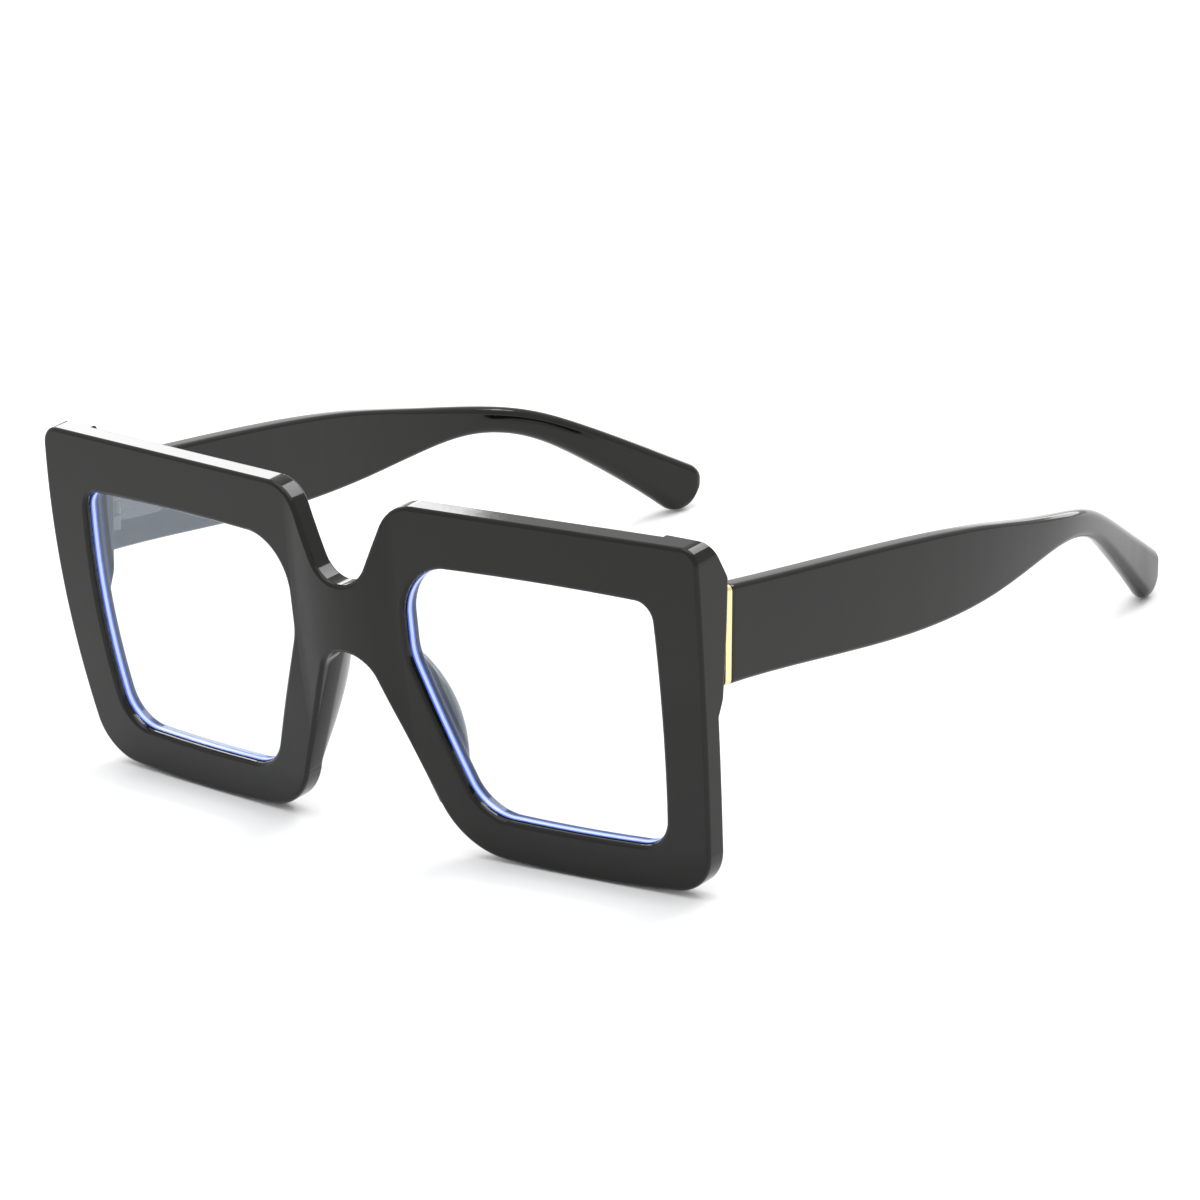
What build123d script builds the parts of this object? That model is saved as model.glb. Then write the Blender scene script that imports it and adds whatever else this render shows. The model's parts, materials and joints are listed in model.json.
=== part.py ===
from build123d import *
import os
from math import cos, radians, sin, tan

# Blue light glasses, thick square acetate-style front with folding temples. Millimetres.
# X runs across the face with the wearer's left side at +X, the front looks along -Y, +Z is up.
# The glasses are modelled open, standing on the bottoms of the rims and the tips of the temples.

# ---- front: outline of the left half, measured in the XZ plane with the floor at z = 0 ----
TOP_Z = 62.0                 # straight top edges of both rims
TOP_CORNER_X = 72.7          # upper outer corner, half of the overall width
LOW_OUTER = (67.9, 1.7)      # lower outer corner before rounding
SIDE_BOW = 1.55              # how far the outer side swells beyond its chord
BOTTOM_BOW = 2.2             # how far the bottom edge sags below its chord
UNDER_NOSE_X = 10.0          # the bottom arc is carried on to here, then cut away by the arch
UNDER_NOSE_Z = 2.7
TOP_CORNER_R = 3.0
LOW_OUTER_R = 8.8
LOW_INNER_R = 13.5

# ---- bridge: V notch above, arch below ----
NOTCH_APEX_Z = 38.5          # where the two straight walls of the notch would meet
NOTCH_HALF_ANGLE = 25.4
NOTCH_R = 6.2                # round bottom of the notch
NOTCH_LIP_R = 7.2            # round shoulders where the notch meets the top edges
ARCH_APEX_Z = 45.0
ARCH_HALF_ANGLE = 22.8
ARCH_R = 6.5
ARCH_FOOT_Z = 1.5            # the arch meets the bottom edge at about this height

# ---- lens openings: corners before rounding, and their radii ----
OPENING = [((12.75, 51.8), 9.6), ((63.1, 51.8), 3.4), ((60.6, 8.5), 6.9), ((23.0, 8.3), 8.8), ((12.65, 35.7), 12.0)]
OPENING_BOW = [0.45, 1.3, 0.5, 0.0, 0.0]

# ---- front: depth and curvature ----
RIM_T = 4.0                  # front to back
WRAP = 4.3                   # each rim sweeps back by this angle, in degrees
WRAP_START_X = 9.8
BRIDGE_FORWARD = 1.4         # the bridge stands this far in front of the inner ends of the rims
BLEND_X = 12.0               # the bridge's saddle runs out into the flat of the rim here
BRIDGE_SHOULDER = (8.5, -0.475)
BOW_R = 306.0                # the face is gently curved from top to bottom
BOW_Z = 36.0                 # height of the foremost line
REACH = 80.0                 # half width and half angle of the layer that the front is cut from
SWEEP = 7.5
RIM_EDGE_R = 0.7
RIM_BACK_R = 0.45
OPENING_EDGE_R = 0.4

# ---- lenses ----
LENS_T = 1.6
LENS_SETBACK = 1.15          # front of the lens behind the front of the rim
LENS_BITE = 0.8              # how far the lens reaches into its groove
GROOVE_GAP = 0.05

# ---- hinges: own frame, X outwards, Y along the open temple, Z along the screw ----
PIVOT = (66.4, 13.6, 45.3)
PITCH = 9.62                 # the temples run down towards the ears, in degrees
KNUCKLE_R = 1.55
KNUCKLE_HALF = 3.9           # half the height of the whole hinge
MIDDLE_HALF = 1.2            # half the height of the temple's knuckle
KNUCKLE_GAP = 0.1
SCREW_R = 0.7
SCREW_HEAD_R = 1.25
SCREW_HEAD_T = 0.6
BORE_GAP = 0.04
TANG_DEPTH = 3.4             # how far the front hinge is sunk in the frame
LEAF = (2.2, 14.0, 3.2)      # start, end and half height of the plate on the temple
LEAF_X = (1.1, 2.7)
ARM_START = 0.3

# ---- end pieces and temple trims, in the hinge's frame ----
LUG_BACK = -1.85
LUG_INNER_X = -2.6
LUG_SIDE = [(-8.0, 16.4), (-6.2, 15.6), (LUG_BACK, 8.9), (LUG_BACK, -9.2), (-3.4, -14.5), (-5.0, -15.5)]
LUG_EDGE_R = 0.6
TRIM_FRONT = -1.65
TEMPLE_FRONT = -0.2
TEMPLE_INNER_X = 1.7

# ---- temples: stations along the temple, with height and plan position at each ----
STATIONS = [TEMPLE_FRONT, 25.0, 49.0, 68.0, 83.0, 96.0, 108.0, 120.0, 133.0, 147.0]
TOP_W = [7.7, 7.45, 7.1, 6.0, 4.3, 2.9, 0.9, -3.4, -9.1, -15.4]
LOW_W = [-8.7, -8.75, -8.75, -6.9, -4.1, -2.4, -4.3, -10.2, -18.4, -28.0]
OUTER_X = [5.6, 6.3, 6.7, 6.3, 5.0, 2.9, -0.3, -4.1, -8.1, -11.6]
THICK = [3.9, 3.9, 3.8, 3.6, 3.5, 3.5, 3.8, 4.2, 4.4, 4.4]
TIP_END = [(146.4, -15.0), (140.2, -23.6)]   # upper and lower corner of the cut end
TIP_TOP_R = 3.6
TIP_LOW_R = 3.6
TEMPLE_EDGE_R = 1.1
TRIM_PROUD = 0.08
CORE_START = 16.0
CORE_END = 138.0
CORE_T = 1.0
CORE_H = 1.6

# ---- nose pads ----
PAD_CENTRE_Z = 23.0
PAD_SIZE = (3.9, 5.0, 13.0)  # half width, depth behind the rim, half length
PAD_INSET = 3.7
GLUE_GAP = 0.02


def side_name(side):
    return "left" if side > 0 else "right"


def place(shape):
    """Move a shape from the left hinge's own frame to its place on the glasses."""
    return Location(PIVOT, (-PITCH, 0, 0)) * shape


def for_side(shape, side):
    return shape if side > 0 else mirror(shape, about=Plane.YZ)


def arc_between(start, end, bow):
    """An edge from start to end in the XZ outline, swelling to the left of its direction by bow."""
    a, b = Vector(start[0], start[1]), Vector(end[0], end[1])
    if bow == 0:
        return Line(a, b)
    across = (b - a).normalized().rotate(Axis.Z, 90)
    return ThreePointArc(a, (a + b) * 0.5 + across * bow, b)


def face_of(edges):
    return make_face(Curve() + edges)


def rounded(face, corner, radius):
    """Round the corner of a face that lies nearest to the given point."""
    spot = Vector(corner[0], corner[1])
    vertex = min(face.vertices(), key=lambda v: (Vector(v.X, v.Y, v.Z) - spot).length)
    return fillet([vertex], radius)


def wedge(apex_z, half_angle, radius, reach, down):
    """A triangle with a rounded apex on the centre line, opening up or down."""
    sign = -1 if down else 1
    spread = reach * tan(radians(half_angle))
    corners = [(0, apex_z), (spread, apex_z + sign * reach), (-spread, apex_z + sign * reach)]
    return rounded(make_face(Polyline(*corners, close=True)), corners[0], radius)


def front_outline():
    half = [(0, TOP_Z), (TOP_CORNER_X, TOP_Z), LOW_OUTER, (UNDER_NOSE_X, UNDER_NOSE_Z), (0, UNDER_NOSE_Z)]
    bows = [0, SIDE_BOW, BOTTOM_BOW, 0]
    left = [arc_between(half[i], half[i + 1], bows[i]) for i in range(4)]
    right = [mirror(edge, about=Plane.YZ) for edge in left]
    face = face_of(left + right)
    face = rounded(face, (TOP_CORNER_X, TOP_Z), TOP_CORNER_R)
    face = rounded(face, (-TOP_CORNER_X, TOP_Z), TOP_CORNER_R)
    face = rounded(face, LOW_OUTER, LOW_OUTER_R)
    face = rounded(face, (-LOW_OUTER[0], LOW_OUTER[1]), LOW_OUTER_R)
    face -= wedge(NOTCH_APEX_Z, NOTCH_HALF_ANGLE, NOTCH_R, 40, down=False)
    face -= wedge(ARCH_APEX_Z, ARCH_HALF_ANGLE, ARCH_R, 60, down=True)
    lip_x = (TOP_Z - NOTCH_APEX_Z) * tan(radians(NOTCH_HALF_ANGLE))
    foot_x = (ARCH_APEX_Z - ARCH_FOOT_Z) * tan(radians(ARCH_HALF_ANGLE))
    for s in (1, -1):
        face = rounded(face, (s * lip_x, TOP_Z), NOTCH_LIP_R)
        face = rounded(face, (s * foot_x, ARCH_FOOT_Z), LOW_INNER_R)
    return face


def opening_outline(grow):
    corners = [corner for corner, radius in OPENING]
    count = len(corners)
    edges = [arc_between(corners[i], corners[(i + 1) % count], OPENING_BOW[i]) for i in range(count)]
    face = face_of(edges)
    for corner, radius in OPENING:
        face = rounded(face, corner, radius)
    return offset(face, grow) if grow else face


def prism(outline):
    """Carry an XZ outline through the whole depth of the front."""
    upright = Rotation(90, 0, 0) * outline
    return Pos(0, 40, 0) * extrude(upright, 60, dir=(0, -1, 0))


def shell(setback, thickness):
    """The curved layer that starts setback behind the front surface."""
    slope = tan(radians(WRAP))
    reach_y = (REACH - WRAP_START_X) * slope
    blend_y = (BLEND_X - WRAP_START_X) * slope

    def line_at(y):
        start, end = (-REACH, reach_y + y), (REACH, reach_y + y)
        into, out = (-BLEND_X, blend_y + y), (BLEND_X, blend_y + y)
        shoulders = [(s * BRIDGE_SHOULDER[0], BRIDGE_SHOULDER[1] + y) for s in (-1, 1)]
        saddle = [into, shoulders[0], (0, y - BRIDGE_FORWARD), shoulders[1], out]
        return [Line(start, into), Spline(*saddle, tangents=[(1, -slope), (1, slope)]), Line(out, end)]

    near, far = line_at(setback), line_at(setback + thickness)
    caps = [Line((s * REACH, reach_y + setback), (s * REACH, reach_y + setback + thickness)) for s in (1, -1)]
    profile = Pos(0, 0, BOW_Z) * face_of(near + far + caps)
    axis = Axis((0, BOW_R, BOW_Z), (1, 0, 0))
    return revolve(profile.rotate(axis, -SWEEP), axis, 2 * SWEEP)


def border_edges(solid, facing):
    """The edges where the front (-1) or back (1) surface of a curved plate ends."""
    faces = [face for face in solid.faces() if face.normal_at().Y * facing > 0.9]
    edges = [edge for face in faces for edge in face.edges()]
    return [edge for edge in edges if sum(edge.is_same(other) for other in edges) == 1]


def beside(low, high):
    """A box between two opposite corners."""
    size = [high[i] - low[i] for i in range(3)]
    return Pos(*low) * Box(*size, align=(Align.MIN, Align.MIN, Align.MIN))


def lens():
    return shell(LENS_SETBACK, LENS_T) & prism(opening_outline(LENS_BITE))


def groove():
    layer = shell(LENS_SETBACK - GROOVE_GAP, LENS_T + 2 * GROOVE_GAP)
    return layer & prism(opening_outline(LENS_BITE + GROOVE_GAP))


def lug():
    side = Plane.YZ * make_face(Polyline(*LUG_SIDE, close=True))
    block = place(Pos(LUG_INNER_X, 0, 0) * extrude(side, 12)) & prism(front_outline())
    backs = [face for face in block.faces() if face.normal_at().Y > 0.9 and face.normal_at().Z < 0]
    edges = [edge for face in backs for edge in face.edges()]
    return fillet(edges, LUG_EDGE_R)


def front_hinge():
    """Two knuckles on necks, joined by a bar that is sunk in the lug."""
    root = LUG_BACK - TANG_DEPTH
    low = MIDDLE_HALF + KNUCKLE_GAP
    height = KNUCKLE_HALF - low
    hinge = beside((-KNUCKLE_R, root, -KNUCKLE_HALF), (KNUCKLE_R, root + 1.1, KNUCKLE_HALF))
    for start in (low, -KNUCKLE_HALF):
        hinge += beside((-KNUCKLE_R, root, start), (KNUCKLE_R, 0, start + height))
        hinge += Pos(0, 0, start + height / 2) * Cylinder(KNUCKLE_R, height)
    return hinge - Cylinder(SCREW_R + BORE_GAP, 3 * KNUCKLE_HALF)


def temple_hinge():
    """One knuckle on an arm, and the plate that is set in the temple's inner face."""
    start, end, half = LEAF
    leaf = beside((LEAF_X[0], start, -half), (LEAF_X[1], end, half))
    leaf = fillet([edge for edge in leaf.edges().filter_by(Axis.X) if edge.center().Y > end - 0.1], 1.5)
    arm = beside((0, ARM_START, -MIDDLE_HALF), (LEAF_X[1], start + 1, MIDDLE_HALF))
    knuckle = Cylinder(KNUCKLE_R, 2 * MIDDLE_HALF)
    return leaf + arm + knuckle - Cylinder(SCREW_R + BORE_GAP, 3 * KNUCKLE_HALF)


def hinge_screw():
    shaft = Cylinder(SCREW_R, 2 * KNUCKLE_HALF)
    head = Pos(0, 0, KNUCKLE_HALF + SCREW_HEAD_T / 2) * Cylinder(SCREW_HEAD_R, SCREW_HEAD_T)
    head = fillet(head.edges().group_by(Axis.Z)[-1], 0.2)
    slot = Pos(0, 0, KNUCKLE_HALF + SCREW_HEAD_T) * Box(3, 0.35, 0.6)
    return shaft + head - slot


def band(stations, low, high):
    """A face between two smooth curves over the same stations."""
    lower = list(zip(stations, low))
    upper = list(zip(stations, high))
    return face_of([Spline(*lower), Line(lower[-1], upper[-1]), Spline(*upper), Line(upper[0], lower[0])])


def upright(face):
    """Extrude a side view, drawn as (along, up), across the temple."""
    return Pos(-40, 0, 0) * extrude(Plane.YZ * face, 80)


def flat(face):
    """Extrude a plan view, drawn as (along, outwards), through the temple's height."""
    plan = Plane((0, 0, -50), x_dir=(0, 1, 0), z_dir=(0, 0, 1)) * mirror(face, about=Plane.XZ)
    return extrude(plan, 100)


def temple_core():
    middle_w = [(top + low) / 2 for top, low in zip(TOP_W, LOW_W)]
    middle_x = [x - t / 2 for x, t in zip(OUTER_X, THICK)]
    side = band(STATIONS, [w - CORE_H / 2 for w in middle_w], [w + CORE_H / 2 for w in middle_w])
    plan = band(STATIONS, [x - CORE_T / 2 for x in middle_x], [x + CORE_T / 2 for x in middle_x])
    keep = beside((-40, CORE_START, -60), (40, CORE_END, 60))
    return upright(side) & flat(plan) & keep


def temple_blank():
    side = band(STATIONS, LOW_W, TOP_W)
    upper, lower = (Vector(*corner) for corner in TIP_END)
    run = (lower - upper).normalized() * 40
    beyond = [upper - run, upper + run, upper + run + Vector(60, 0), upper - run + Vector(60, 0)]
    side -= make_face(Polyline(*beyond, close=True))
    side = rounded(side, TIP_END[0], TIP_TOP_R)
    side = rounded(side, TIP_END[1], TIP_LOW_R)
    inner_x = [x - t for x, t in zip(OUTER_X, THICK)]
    body = upright(side) & flat(band(STATIONS, inner_x, OUTER_X))
    edges = [edge for edge in body.edges() if edge.center().Y > 0.5 and abs(edge.tangent_at(0.5).X) < 0.7]
    return fillet(edges, TEMPLE_EDGE_R)


def temple_trim():
    """The metal plate on the temple's front end."""
    low = (TEMPLE_INNER_X - TRIM_PROUD, TRIM_FRONT, LOW_W[0] - TRIM_PROUD)
    high = (OUTER_X[0] + TRIM_PROUD, TEMPLE_FRONT, TOP_W[0] + TRIM_PROUD)
    plate = beside(low, high)
    return fillet(plate.edges().filter_by(Axis.Y), TEMPLE_EDGE_R)


def nose_pad():
    lean = radians(ARCH_HALF_ANGLE)
    wall_x = (ARCH_APEX_Z - PAD_CENTRE_Z) * tan(lean)
    centre = (wall_x + PAD_INSET * cos(lean), RIM_T, PAD_CENTRE_Z + PAD_INSET * sin(lean))
    blob = Rotation(0, -ARCH_HALF_ANGLE, 0) * scale(Sphere(1), by=PAD_SIZE)
    return Pos(*centre) * blob & shell(RIM_T + GLUE_GAP, 12)


def front_frame():
    plate = prism(front_outline()) & shell(0, RIM_T)
    for side in (1, -1):
        plate -= for_side(prism(opening_outline(0)), side)
    plate = fillet(border_edges(plate, -1), RIM_EDGE_R)
    plate = fillet(border_edges(plate, 1), RIM_BACK_R)
    for side in (1, -1):
        plate += for_side(lug(), side)
        plate -= for_side(groove(), side)
        plate -= for_side(place(front_hinge()), side)
    return plate


def build():
    """Every node of the glasses by name, where it lies when the temples are open."""
    screw = place(hinge_screw())
    core = temple_core()
    hinge = temple_hinge()
    left = {
        "lens": lens(),
        "nose_pad": nose_pad(),
        "front_hinge": place(front_hinge()),
        "temple_hinge": place(hinge),
        "hinge_screw": screw,
        "temple": place(temple_blank() - core - hinge),
        "temple_trim": place(temple_trim()),
        "temple_core": place(core),
    }
    nodes = {"front_frame": front_frame()}
    for name, shape in left.items():
        for side in (1, -1):
            nodes[name + "_" + side_name(side)] = for_side(shape, side)
    return nodes


def main():
    os.makedirs("parts", exist_ok=True)
    nodes = build()
    boxes = [shape.bounding_box() for shape in nodes.values()]
    front_y, back_y = min(box.min.Y for box in boxes), max(box.max.Y for box in boxes)
    floor_z = min(box.min.Z for box in boxes)
    shift = Pos(0, -(front_y + back_y) / 2, -floor_z)
    for name, shape in nodes.items():
        export_step(shift * shape, "parts/" + name + ".step")
        print(name, round(shape.volume, 1))
    print("moved by", shift.position)


if __name__ == "__main__":
    main()
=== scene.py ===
import json
from math import atan2, cos, radians, sin

import bmesh
import bpy
from mathutils import Matrix, Vector
from mathutils.bvhtree import BVHTree


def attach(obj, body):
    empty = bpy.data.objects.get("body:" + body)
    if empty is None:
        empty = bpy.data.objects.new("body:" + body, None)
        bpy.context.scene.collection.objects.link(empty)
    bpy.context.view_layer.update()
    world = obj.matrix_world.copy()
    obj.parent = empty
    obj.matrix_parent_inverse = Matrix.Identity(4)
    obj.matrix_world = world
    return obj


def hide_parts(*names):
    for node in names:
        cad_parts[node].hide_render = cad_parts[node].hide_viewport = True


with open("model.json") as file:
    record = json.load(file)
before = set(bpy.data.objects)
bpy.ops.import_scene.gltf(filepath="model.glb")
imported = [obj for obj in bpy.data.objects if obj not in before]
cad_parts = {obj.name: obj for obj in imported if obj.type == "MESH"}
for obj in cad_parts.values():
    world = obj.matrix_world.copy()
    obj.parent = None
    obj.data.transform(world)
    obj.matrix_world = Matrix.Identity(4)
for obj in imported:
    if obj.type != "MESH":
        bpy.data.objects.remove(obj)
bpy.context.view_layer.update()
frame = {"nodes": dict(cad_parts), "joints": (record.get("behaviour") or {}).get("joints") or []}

MM = 0.001
SIDES = ("left", "right")

# ---- camera: where it stands round the glasses, in degrees and metres, and its lens in mm ----
CAM_AZIMUTH = 41.95
CAM_ELEVATION = 20.75
CAM_ROLL = -6.26
CAM_DISTANCE = 1.0114
CAM_TARGET = (0.0204, -0.0354, 0.0326)
CAM_LENS = 180.0
CAM_SENSOR = 36.0
CAM_CLIP = 20.0

# ---- stage, in metres ----
FLOOR_HALF = 3.0
LIGHT_TARGET = (0, 0, 0.03)

# ---- temples, in mm, in the left hinge's frame: out, along the temple, and up along the screw ----
EDGE_ROUND = (0.9, 2.1)      # rounding of the long edges, at the front and at the tip
EDGE_CHANGE = (70.0, 130.0)  # how far from the hinge it starts and stops to grow
ROUND_LIMIT = 0.98           # a corner takes up at most this share of half a section
THINNEST = 0.02              # least half width or half height of a section
FRONT_ROUND = 0.3
TIP_STRETCH = 7.0            # the tip has closer rows over this length
FRONT_ROWS = 4
BODY_ROWS = 150
TIP_ROWS = 30
TREND_ROWS = 9               # the tip's thickness carries on the trend of this many rows
RING_STEPS = 9               # points on each quarter of a section
FAR = 90.0                   # rays start here, well clear of the temple
RAY_INSET = 0.02             # and keep this far from its two ends
RAY_LEVEL = 0.25             # share of the height at which the thickness is measured

# ---- front beside the bridge, in mm, in the frame ----
ARCH_APEX_Z = 45.028
ARCH_HALF_ANGLE = 22.8
BOW_Z = 36.0
BOW_R = 306.0
NOSE_FRONT_Y = -75.95        # front of the rim beside the bridge
RIM_T = 4.0

# ---- nose pads, in mm, in the frame ----
PAD_TOP_Z = 37.5
PAD_LOW_Z = 9.5
PAD_ROWS = 48
PAD_ENDS = 0.01              # the rows stop this share short of either point of the leaf
PAD_LIFT = 0.85              # below 1, the leaf is fullest above its middle
PAD_FULL = 0.75              # below 1, the leaf is blunter towards its ends
PAD_FRONT = 0.65             # the pad's skin begins this far behind the front of the rim
PAD_SUNK = 0.04              # and starts this far inside its wall
PAD_PROUD = 0.07             # how far it stands off the wall of the rim there
PAD_BULGE = 0.3
PAD_RISE = ((0.3, 0.12), (1.0, 0.5), (2.0, 0.88), (2.9, 1.0))  # way back, share of the bulge
PAD_LAP = 0.1                # the leaf starts this far in front of the back of the rim
PAD_HALF = 3.612             # half its width
PAD_DEPTH = 6.2              # how far it reaches behind the rim
PAD_LEAST = 0.25             # and how much of that is left at its ends
PAD_SLIM = 0.6               # how much it narrows towards its ends
PAD_TURN = 155.0             # degrees that the leaf turns through, from the nose outwards
PAD_STEPS = 14
PAD_HOLLOW = 1.7             # above 1, its flank starts flat beside the nose
PAD_INNER = 0.3              # the hidden side is this far inside the wall of the rim
PAD_GAP = 0.06               # and this far behind its back

# ---- lenses, in metres ----
LENS_BITE = 0.8 * MM         # how much of the lens is hidden in the groove of its rim
LINE_T = 0.12 * MM
LINE_DEPTHS = (0.15 * MM, 0.42 * MM, 1.12 * MM, 1.45 * MM)
HIGHLIGHT_FACE = 3                # the side of the line's section that carries its painted highlight, a brighter strip down its middle
SQUARE_ON = 0.7              # a face looks forward if its normal points at least this much that way
SPOTS_PER_METRE = 1e6        # vertices that round to the same spot are one

# ---- colours, as linear RGB ----
BLACK = (0.0022, 0.0022, 0.0014)
HINGE_GREY = (0.11, 0.11, 0.115)
WIRE_GREY = (0.5, 0.5, 0.5)
GOLD = (0.83, 0.66, 0.36)
LENS_COAT = (0.76, 0.87, 1.0)
LENS_TINT = (0.985, 0.99, 1.0)
# the lens edge line: blue that lights itself, a painted glow standing in for light caught in the edge
# of the lens, with a brighter painted highlight down its middle
LINE_BLUE = (0.05, 0.11, 0.55)
LINE_PAINTED_GLOW = (0.05, 0.12, 0.75)
CORE_HIGHLIGHT_BLUE = (0.38, 0.45, 0.85)
CORE_PAINTED_GLOW = (0.36, 0.46, 0.95)
FLOOR_WHITE = (0.9, 0.9, 0.9)

# ---- gloss ----
BLACK_IOR = 1.45
BLACK_SPECULAR = 0.36
LENS_MIRROR = 0.07           # share of the light that a lens face throws back, straight on
LENS_STEEPEN = 5.0           # power by which that grows to all of it, edge on


def link(tree, out, into):
    tree.links.new(out, into)


def new_material(name, base, roughness, metallic=0.0):
    """A material with one Principled shader, and the shader and tree to build on."""
    material = bpy.data.materials.new(name)
    material.use_nodes = True
    tree = material.node_tree
    shader = tree.nodes["Principled BSDF"]
    shader.inputs["Base Color"].default_value = (*base, 1.0)
    shader.inputs["Roughness"].default_value = roughness
    shader.inputs["Metallic"].default_value = metallic
    return material, tree, shader


def noise(tree, scale, detail=3.0, stretch=(1.0, 1.0, 1.0)):
    """Noise over the object's own space, in metres, stretched along the axes."""
    place = tree.nodes.new("ShaderNodeTexCoord")
    mapping = tree.nodes.new("ShaderNodeMapping")
    mapping.inputs["Scale"].default_value = stretch
    texture = tree.nodes.new("ShaderNodeTexNoise")
    texture.inputs["Scale"].default_value = scale
    texture.inputs["Detail"].default_value = detail
    link(tree, place.outputs["Object"], mapping.inputs["Vector"])
    link(tree, mapping.outputs["Vector"], texture.inputs["Vector"])
    return texture.outputs["Fac"]


def spread(tree, value, low, high, source=(0.3, 0.7)):
    """Turn a value in the source range into one between low and high."""
    node = tree.nodes.new("ShaderNodeMapRange")
    node.inputs["From Min"].default_value = source[0]
    node.inputs["From Max"].default_value = source[1]
    node.inputs["To Min"].default_value = low
    node.inputs["To Max"].default_value = high
    link(tree, value, node.inputs["Value"])
    return node.outputs["Result"]


def bump(tree, shader, height, strength, distance):
    node = tree.nodes.new("ShaderNodeBump")
    node.inputs["Strength"].default_value = strength
    node.inputs["Distance"].default_value = distance
    link(tree, height, node.inputs["Height"])
    link(tree, node.outputs["Normal"], shader.inputs["Normal"])


def black_gloss(name, roughness_low, roughness_high):
    """Polished black plastic: nearly even, with faint buffing waves and fine handling haze."""
    material, tree, shader = new_material(name, BLACK, roughness_low)
    haze = tree.nodes.new("ShaderNodeMath")
    haze.operation = "MULTIPLY"
    link(tree, noise(tree, scale=90.0), haze.inputs[0])
    link(tree, noise(tree, scale=1400.0, detail=5.0, stretch=(1.0, 1.0, 0.15)), haze.inputs[1])
    roughness = spread(tree, haze.outputs["Value"], roughness_low, roughness_high, source=(0.12, 0.4))
    link(tree, roughness, shader.inputs["Roughness"])
    bump(tree, shader, noise(tree, scale=160.0, detail=2.0), strength=0.08, distance=0.0002)
    shader.inputs["IOR"].default_value = BLACK_IOR
    shader.inputs["Specular IOR Level"].default_value = BLACK_SPECULAR
    return material


def steel(name, base):
    """Brushed metal, with its grain running from front to back."""
    material, tree, shader = new_material(name, base, roughness=0.3, metallic=1.0)
    grain = noise(tree, scale=900.0, detail=4.0, stretch=(1.0, 0.08, 1.0))
    link(tree, spread(tree, grain, low=0.22, high=0.42), shader.inputs["Roughness"])
    bump(tree, shader, grain, strength=0.15, distance=0.00005)
    return material


def gold():
    """Gold plate, with its grain running up."""
    material, tree, shader = new_material("gold_trim", GOLD, roughness=0.16, metallic=1.0)
    grain = noise(tree, scale=700.0, detail=4.0, stretch=(1.0, 1.0, 0.1))
    link(tree, spread(tree, grain, low=0.12, high=0.26), shader.inputs["Roughness"])
    bump(tree, shader, grain, strength=0.1, distance=0.00004)
    return material


def clear_lens():
    """Clear coated sheet: what is behind shows unbent, under a faint blue mirror."""
    material, tree, shader = new_material("lens_clear", LENS_COAT, roughness=0.03, metallic=1.0)
    smears = spread(tree, noise(tree, scale=60.0), low=0.01, high=0.05)
    through = tree.nodes.new("ShaderNodeBsdfTransparent")
    through.inputs["Color"].default_value = (*LENS_TINT, 1.0)
    facing = tree.nodes.new("ShaderNodeLayerWeight")
    facing.inputs["Blend"].default_value = 0.5
    steep = tree.nodes.new("ShaderNodeMath")
    steep.operation = "POWER"
    steep.inputs[1].default_value = LENS_STEEPEN
    mirror = spread(tree, steep.outputs["Value"], low=LENS_MIRROR, high=1.0, source=(0.0, 1.0))
    mix = tree.nodes.new("ShaderNodeMixShader")
    link(tree, smears, shader.inputs["Roughness"])
    link(tree, facing.outputs["Facing"], steep.inputs[0])
    link(tree, mirror, mix.inputs["Fac"])
    link(tree, through.outputs["BSDF"], mix.inputs[1])
    link(tree, shader.outputs["BSDF"], mix.inputs[2])
    link(tree, mix.outputs["Shader"], tree.nodes["Material Output"].inputs["Surface"])
    return material


def lens_edge_painted_glow(name, base, glow, strength):
    """The edge of the lens, drawn as a blue line that lights itself: a painted glow standing in for
    the light that the lens edge catches and throws back.
    """
    material, tree, shader = new_material(name, base, roughness=0.35)
    link(tree, spread(tree, noise(tree, scale=120.0), low=0.25, high=0.45), shader.inputs["Roughness"])
    bump(tree, shader, noise(tree, scale=700.0), strength=0.1, distance=0.00003)
    # painted glow: the edge shines by its own emission, though it is no lamp
    shader.inputs["Emission Color"].default_value = (*glow, 1.0)
    shader.inputs["Emission Strength"].default_value = strength
    return material


def set_material(obj, material):
    obj.data.materials.clear()
    obj.data.materials.append(material)


def front_loop(mesh):
    """The ordered outline of the faces of a plate that look forward."""
    spots = {}
    uses = {}
    for face in mesh.polygons:
        if -face.normal.y > SQUARE_ON:
            corners = []
            for index in face.vertices:
                spot = mesh.vertices[index].co
                name = tuple(round(c * SPOTS_PER_METRE) for c in spot)
                spots[name] = spot.copy()
                corners.append(name)
            for i, name in enumerate(corners):
                pair = frozenset((corners[i - 1], name))
                uses[pair] = uses.get(pair, 0) + 1
    beside = {}
    for pair, count in uses.items():
        if count == 1 and len(pair) == 2:
            a, b = pair
            beside.setdefault(a, []).append(b)
            beside.setdefault(b, []).append(a)
    start = min(beside)
    loop = [start, min(beside[start])]
    for step in range(len(beside) - 2):
        ahead = [name for name in beside[loop[-1]] if name != loop[-2]]
        loop.append(ahead[0])
    return [spots[name] for name in loop]


def inset_loop(loop, depth):
    """Move an outline inwards, in the plane that the glasses face."""
    count = len(loop)
    area = 0.0
    for i, spot in enumerate(loop):
        after = loop[(i + 1) % count]
        area += spot.x * after.z - after.x * spot.z
    side = 1 if area > 0 else -1
    moved = []
    for i, spot in enumerate(loop):
        along = loop[(i + 1) % count] - loop[i - 1]
        inwards = Vector((-along.z, 0, along.x)).normalized() * side
        moved.append(spot + inwards * depth)
    return moved


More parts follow.
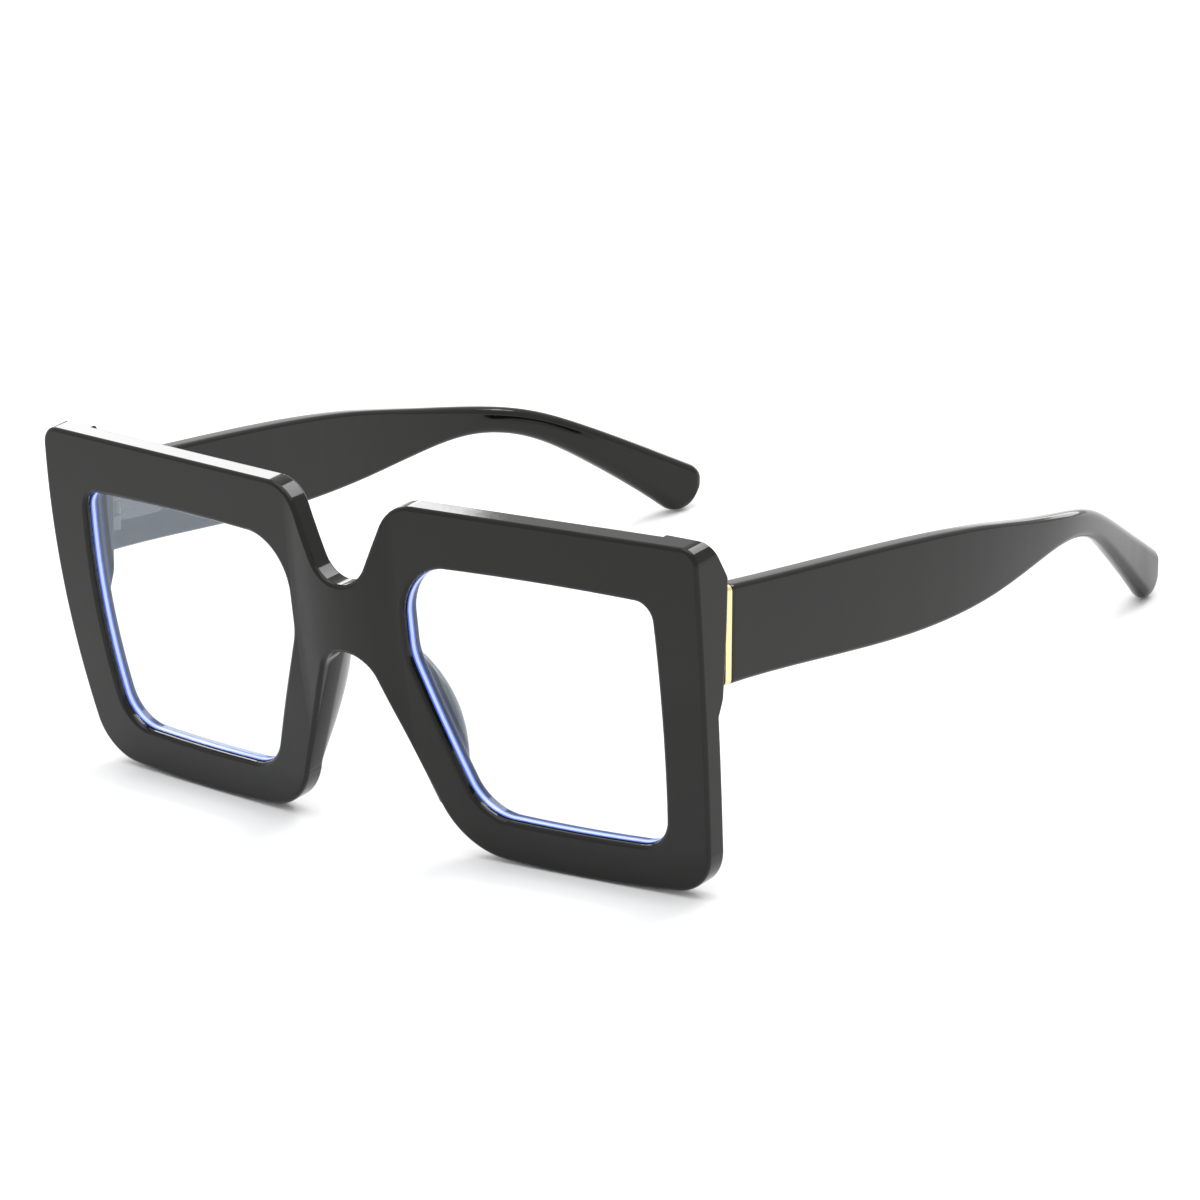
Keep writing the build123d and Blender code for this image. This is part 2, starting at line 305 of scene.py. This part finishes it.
def add_object(name, vertices, faces, material, smooth=True):
    mesh = bpy.data.meshes.new(name)
    mesh.from_pydata([tuple(v) for v in vertices], [], faces)
    mesh.update()
    mesh.materials.append(material)
    for face in mesh.polygons:
        face.use_smooth = smooth
    obj = bpy.data.objects.new(name, mesh)
    bpy.context.scene.collection.objects.link(obj)
    return obj


def make_lens_line(side):
    """The blue line where the edge of the lens shows along the wall of its opening, drawn as a painted
    glow.
    """
    mesh = frame["nodes"]["lens_" + side].data
    wall = inset_loop(front_loop(mesh), LENS_BITE + LINE_T / 2)
    inner = inset_loop(wall, LINE_T)
    count = len(wall)
    ring = []
    for i in range(count):
        ring += [wall[i] + Vector((0, depth, 0)) for depth in (LINE_DEPTHS[0], LINE_DEPTHS[-1])]
        ring += [inner[i] + Vector((0, depth, 0)) for depth in reversed(LINE_DEPTHS)]
    sides = 2 + len(LINE_DEPTHS)
    faces = []
    for i in range(count):
        a, b = sides * i, sides * ((i + 1) % count)
        for k in range(sides):
            n = (k + 1) % sides
            faces.append((a + k, b + k, b + n, a + n))
    line = add_object("lens_line_" + side, ring, faces, lens_glow_material, smooth=False)
    # one face of each section takes the brighter painted highlight
    line.data.materials.append(lens_highlight_material)
    for index, face in enumerate(line.data.polygons):
        face.material_index = 1 if index % sides == HIGHLIGHT_FACE else 0
    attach(line, "front")


def section(half_t, half_h, radius):
    """A rounded rectangle as (across, up) points, going round once."""
    radius = min(radius, half_t * ROUND_LIMIT, half_h * ROUND_LIMIT)
    corner_t, corner_h = half_t - radius, half_h - radius
    points = []
    for quarter, (a, b) in enumerate(((1, 1), (-1, 1), (-1, -1), (1, -1))):
        for i in range(RING_STEPS):
            turn = radians(90 * quarter + 90 * i / (RING_STEPS - 1))
            points.append((a * corner_t + radius * cos(turn), b * corner_h + radius * sin(turn)))
    return points


def rounding(left, radius):
    """How far an end rounded with this radius has drawn in, this far from the end."""
    if left >= radius:
        return 0.0
    return radius - (radius ** 2 - (radius - left) ** 2) ** 0.5


def hinge_place():
    """From the left hinge's own frame in mm to the glasses in metres: its axis is the screw."""
    joint = next(j for j in frame["joints"] if j["name"] == "temple_left_fold")
    pitch = atan2(joint["axis"][1], joint["axis"][2])
    tilt = Matrix.Rotation(-pitch, 4, "X")
    return Matrix.Translation(Vector(joint["pos_m"])) @ tilt @ Matrix.Scale(MM, 4)


def ray_hit(tree, start, way):
    return tree.ray_cast(Vector(start), Vector(way))[0]


def measure_temple(place):
    """Rows of (along, lowest, highest, inner, outer) that the CAD temple runs through."""
    source = frame["nodes"]["temple_left"]
    into = place.inverted() @ source.matrix_world
    spots = [into @ vertex.co for vertex in source.data.vertices]
    tree = BVHTree.FromPolygons(spots, [tuple(face.vertices) for face in source.data.polygons])
    start, end = min(spot.y for spot in spots), max(spot.y for spot in spots)
    at_front = [spot.x for spot in spots if spot.y < start + FRONT_ROUND]
    middle = (min(at_front) + max(at_front)) / 2
    body_start, body_end = start + FRONT_ROUND, end - TIP_STRETCH
    alongs = [start + FRONT_ROUND * (1 - cos(radians(90 * i / FRONT_ROWS))) for i in range(FRONT_ROWS)]
    alongs += [body_start + (body_end - body_start) * i / BODY_ROWS for i in range(BODY_ROWS)]
    alongs += [body_end + TIP_STRETCH * sin(radians(90 * i / TIP_ROWS)) for i in range(TIP_ROWS + 1)]
    last = FRONT_ROWS + BODY_ROWS - 1
    rows = []
    for along in alongs:
        at = min(max(along, start + RAY_INSET), end - RAY_INSET)
        high = ray_hit(tree, (middle, at, FAR), (0, 0, -1)).z
        low = ray_hit(tree, (middle, at, -FAR), (0, 0, 1)).z
        if along < body_end:
            level = low + (high - low) * RAY_LEVEL
            outer = ray_hit(tree, (FAR, at, level), (-1, 0, 0)).x
            inner = ray_hit(tree, (-FAR, at, level), (1, 0, 0)).x
        else:
            near, far = rows[last - TREND_ROWS], rows[last]
            share = (along - near[0]) / (far[0] - near[0])
            inner, outer = (a + (b - a) * share for a, b in zip(near[-2:], far[-2:]))
        middle = (outer + inner) / 2
        rows.append((along, low, high, inner, outer))
    return rows


def skin(name, rings, material):
    """Join rings of points into a closed smooth mesh that faces outwards."""
    count = len(rings[0])
    vertices = [spot for ring in rings for spot in ring]
    faces = []
    for row in range(len(rings) - 1):
        for i in range(count):
            a, b = row * count + i, row * count + (i + 1) % count
            faces.append((a, b, b + count, a + count))
    faces.append(tuple(range(count))[::-1])
    last = (len(rings) - 1) * count
    faces.append(tuple(last + i for i in range(count)))
    obj = add_object(name, vertices, faces, material)
    work = bmesh.new()
    work.from_mesh(obj.data)
    bmesh.ops.recalc_face_normals(work, faces=work.faces)
    work.to_mesh(obj.data)
    work.free()
    return obj


def make_temple(side):
    """The temple along the CAD one, with long edges that grow rounder towards the tip."""
    sign = 1 if side == "left" else -1
    place = hinge_place()
    rows = measure_temple(place)
    start, end = rows[0][0], rows[-1][0]
    rings = []
    for along, low, high, inner, outer in rows:
        half_h, half_t = (high - low) / 2, (outer - inner) / 2
        drawn = rounding(along - start, FRONT_ROUND)
        grown = (along - EDGE_CHANGE[0]) / (EDGE_CHANGE[1] - EDGE_CHANGE[0])
        soft = EDGE_ROUND[0] + (EDGE_ROUND[1] - EDGE_ROUND[0]) * min(1, max(0, grown))
        flat_h = max(half_h - drawn, THINNEST)
        flat_t = max(half_t - drawn - rounding(end - along, half_t), THINNEST)
        ring = []
        for across, height in section(flat_t, flat_h, soft):
            spot = place @ Vector(((inner + outer) / 2 + across, along, (low + high) / 2 + height))
            ring.append(Vector((sign * spot.x, spot.y, spot.z)))
        rings.append(ring)
    temple = skin("temple_shape_" + side, rings, frame_material)
    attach(temple, "temple_" + side)
    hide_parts("temple_" + side)


def pad_section(share):
    """One level outline of a left pad as (x, y) points, at a share of its height from the top."""
    z = PAD_TOP_Z + (PAD_LOW_Z - PAD_TOP_Z) * share
    swell = sin(radians(180 * share ** PAD_LIFT)) ** PAD_FULL
    lean = radians(ARCH_HALF_ANGLE)
    wall = (ARCH_APEX_Z - z) * sin(lean) / cos(lean)
    front = NOSE_FRONT_Y + (z - BOW_Z) ** 2 / (2 * BOW_R)
    back = front + RIM_T
    bulge = PAD_PROUD + PAD_BULGE * swell
    nose = [(wall + PAD_SUNK, front + PAD_FRONT)]
    for way_back, risen in PAD_RISE:
        nose.append((wall - bulge * risen, front + PAD_FRONT + way_back))
    half_w, depth = PAD_HALF + bulge, PAD_LEAST + PAD_DEPTH * swell
    slim = PAD_SLIM * (1 - swell)
    for i in range(PAD_STEPS + 1):
        turn = radians(180 - PAD_TURN * i / PAD_STEPS)
        across = half_w * (cos(turn) * (1 - slim) - slim)
        rise = sin(turn) ** (PAD_HOLLOW if i < PAD_STEPS / 2 else 1.0)
        nose.append((wall + PAD_HALF + across, back - PAD_LAP + depth * rise))
    nose.append((nose[-1][0], back + PAD_GAP))
    nose.append((wall + PAD_INNER, back + PAD_GAP))
    nose.append((wall + PAD_INNER, front + PAD_FRONT))
    return z, nose


def make_pad(side):
    """A leaf that covers the nose side of the rim and swells behind it."""
    sign = 1 if side == "left" else -1
    rings = []
    for row in range(PAD_ROWS + 1):
        turn = radians(180 * (PAD_ENDS + (1 - 2 * PAD_ENDS) * row / PAD_ROWS))
        z, nose = pad_section(0.5 - 0.5 * cos(turn))
        rings.append([Vector((sign * x * MM, y * MM, z * MM)) for x, y in nose])
    pad = skin("nose_pad_shape_" + side, rings, pad_material)
    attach(pad, "front")
    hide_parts("nose_pad_" + side)


frame_material = black_gloss("black_gloss", roughness_low=0.05, roughness_high=0.10)
pad_material = black_gloss("black_pad", roughness_low=0.14, roughness_high=0.22)
steel_material = steel("hinge_steel", HINGE_GREY)
core_material = steel("core_wire", WIRE_GREY)
gold_material = gold()
clear_lens_material = clear_lens()
# the lens edge line: painted glow, with a brighter painted highlight down its middle
lens_glow_material = lens_edge_painted_glow("lens_edge_painted_glow", LINE_BLUE, LINE_PAINTED_GLOW, strength=0.25)
lens_highlight_material = lens_edge_painted_glow("lens_edge_painted_highlight", CORE_HIGHLIGHT_BLUE, CORE_PAINTED_GLOW, strength=0.4)

set_material(frame["nodes"]["front_frame"], frame_material)
for side in SIDES:
    make_temple(side)
    make_pad(side)
    set_material(frame["nodes"]["front_hinge_" + side], steel_material)
    set_material(frame["nodes"]["temple_hinge_" + side], steel_material)
    set_material(frame["nodes"]["hinge_screw_" + side], steel_material)
    set_material(frame["nodes"]["temple_core_" + side], core_material)
    set_material(frame["nodes"]["temple_trim_" + side], gold_material)
    set_material(frame["nodes"]["lens_" + side], clear_lens_material)
    make_lens_line(side)


# ---- stage: floor, light, camera ----
def direction(azimuth, elevation):
    """From the glasses towards what stands round them at this azimuth and elevation."""
    a, e = radians(azimuth), radians(elevation)
    return Vector((sin(a) * cos(e), -cos(a) * cos(e), sin(e)))


def make_floor():
    material, tree, shader = new_material("floor_white", FLOOR_WHITE, roughness=0.9)
    corners = [(x * FLOOR_HALF, y * FLOOR_HALF, 0) for x, y in ((-1, -1), (1, -1), (1, 1), (-1, 1))]
    floor = add_object("floor", corners, [(0, 1, 2, 3)], material, smooth=False)


def area_light(name, azimuth, elevation, distance, size, power):
    """A soft box that stands round the glasses and faces them."""
    data = bpy.data.lights.new(name, "AREA")
    data.shape = "RECTANGLE"
    data.size, data.size_y = size
    data.energy = power
    lamp = bpy.data.objects.new(name, data)
    bpy.context.scene.collection.objects.link(lamp)
    away = direction(azimuth, elevation)
    lamp.location = Vector(LIGHT_TARGET) + away * distance
    lamp.rotation_euler = away.to_track_quat("Z", "Y").to_euler()


def make_camera():
    back = direction(CAM_AZIMUTH, CAM_ELEVATION)
    right = Vector((cos(radians(CAM_AZIMUTH)), sin(radians(CAM_AZIMUTH)), 0))
    up = back.cross(right)
    turn = Matrix.Rotation(radians(CAM_ROLL), 3, back)
    right, up = turn @ right, turn @ up
    data = bpy.data.cameras.new("camera")
    data.lens = CAM_LENS
    data.sensor_width = CAM_SENSOR
    data.clip_end = CAM_CLIP
    camera = bpy.data.objects.new("camera", data)
    bpy.context.scene.collection.objects.link(camera)
    spot = Vector(CAM_TARGET) + back * CAM_DISTANCE
    basis = Matrix((right, up, back)).transposed().to_4x4()
    camera.matrix_world = Matrix.Translation(spot) @ basis
    bpy.context.scene.camera = camera


def make_world():
    world = bpy.data.worlds.new("studio")
    bpy.context.scene.world = world
    world.use_nodes = True
    background = world.node_tree.nodes["Background"]
    background.inputs["Color"].default_value = (1, 1, 1, 1)
    background.inputs["Strength"].default_value = 1.0


make_floor()
make_world()
area_light("back_box", azimuth=234.5, elevation=20.0, distance=1.6, size=(0.54, 0.35), power=3.0)
area_light("high_box", azimuth=171.0, elevation=45.0, distance=1.5, size=(0.9, 0.4), power=8.0)
area_light("low_box", azimuth=190.0, elevation=7.0, distance=1.6, size=(0.8, 0.22), power=1.6)
area_light("top_box", azimuth=30.0, elevation=88.0, distance=1.5, size=(1.6, 1.6), power=12.0)
make_camera()
bpy.context.scene.view_settings.view_transform = "Standard"
